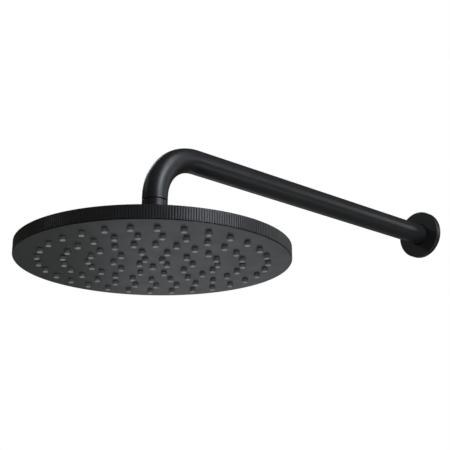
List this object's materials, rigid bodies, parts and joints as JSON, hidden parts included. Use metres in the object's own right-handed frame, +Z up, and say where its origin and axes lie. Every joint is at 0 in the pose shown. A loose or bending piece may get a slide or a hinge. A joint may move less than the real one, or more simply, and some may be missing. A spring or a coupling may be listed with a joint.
{
  "type": "wall-mounted rain shower head and arm",
  "caption": "Round flat rain shower head with a fluted rim, on a ball joint under a bent wall arm with a round cover flange, all in matt black.",
  "frame": {"origin": "where the arm's axis meets the finished wall surface", "axes": "+Z is up, +Y points into the wall along the arm's axis, so the arm reaches out along -Y, and +X is to the right of a person who faces the wall"},
  "size_m": [0.25, 0.544, 0.14],
  "materials": {
    "black_finish": "matt black coating over brass and stainless steel",
    "brass": "bare machined brass",
    "black_rubber": "black seal rubber",
    "grey_silicone": "dark grey moulded silicone",
    "white_plastic": "white acetal",
    "black_plastic": "black moulded plastic",
    "steel": "stainless steel"
  },
  "bodies": {
    "arm": {"arm_tube": "black_finish", "arm_inlet_nipple": "brass", "arm_outlet_nipple": "brass", "connector_washer": "black_rubber", "filter_screen": "steel", "flow_limiter": "white_plastic", "ball_stem": "black_finish"},
    "flange_ring": {"flange_o_ring": "black_rubber"},
    "flange": {"wall_flange": "black_finish"},
    "upper_seat": {"upper_ball_seat": "white_plastic"},
    "lower_seat": {"lower_ball_seat": "black_rubber"},
    "head": {"ball_retaining_nut": "black_finish", "hub_socket": "brass", "hub_gasket": "black_rubber", "shell_washer": "black_rubber", "hub_lock_ring": "black_finish", "back_shell": "black_finish", "face_plate": "black_finish", "nozzle_mat": "grey_silicone", "inner_plate": "black_plastic", "outer_plate_screw_1": "steel", "outer_plate_screw_2": "steel", "outer_plate_screw_3": "steel", "outer_plate_screw_4": "steel", "outer_plate_screw_5": "steel", "outer_plate_screw_6": "steel", "outer_plate_screw_7": "steel", "outer_plate_screw_8": "steel", "inner_plate_screw_1": "steel", "inner_plate_screw_2": "steel", "inner_plate_screw_3": "steel", "inner_plate_screw_4": "steel"}
  },
  "joints": [
    {"name": "flange_slide", "type": "slide", "parent": "arm", "child": "flange_ring", "axis": [0, -1, 0], "range_m": [0, 0.34]},
    {"name": "flange_turn", "type": "hinge", "parent": "flange_ring", "child": "flange", "pos_m": [0, 0, 0], "axis": [0, 1, 0], "continuous": true},
    {"name": "head_turn", "type": "hinge", "parent": "arm", "child": "upper_seat", "pos_m": [0, -0.404, -0.0855], "axis": [0, 0, 1], "continuous": true},
    {"name": "head_tilt_sideways", "type": "hinge", "parent": "upper_seat", "child": "lower_seat", "pos_m": [0, -0.404, -0.0855], "axis": [0, 1, 0], "range_deg": [-10, 10]},
    {"name": "head_tilt_fore_aft", "type": "hinge", "parent": "lower_seat", "child": "head", "pos_m": [0, -0.404, -0.0855], "axis": [1, 0, 0], "range_deg": [-10, 10]}
  ]
}
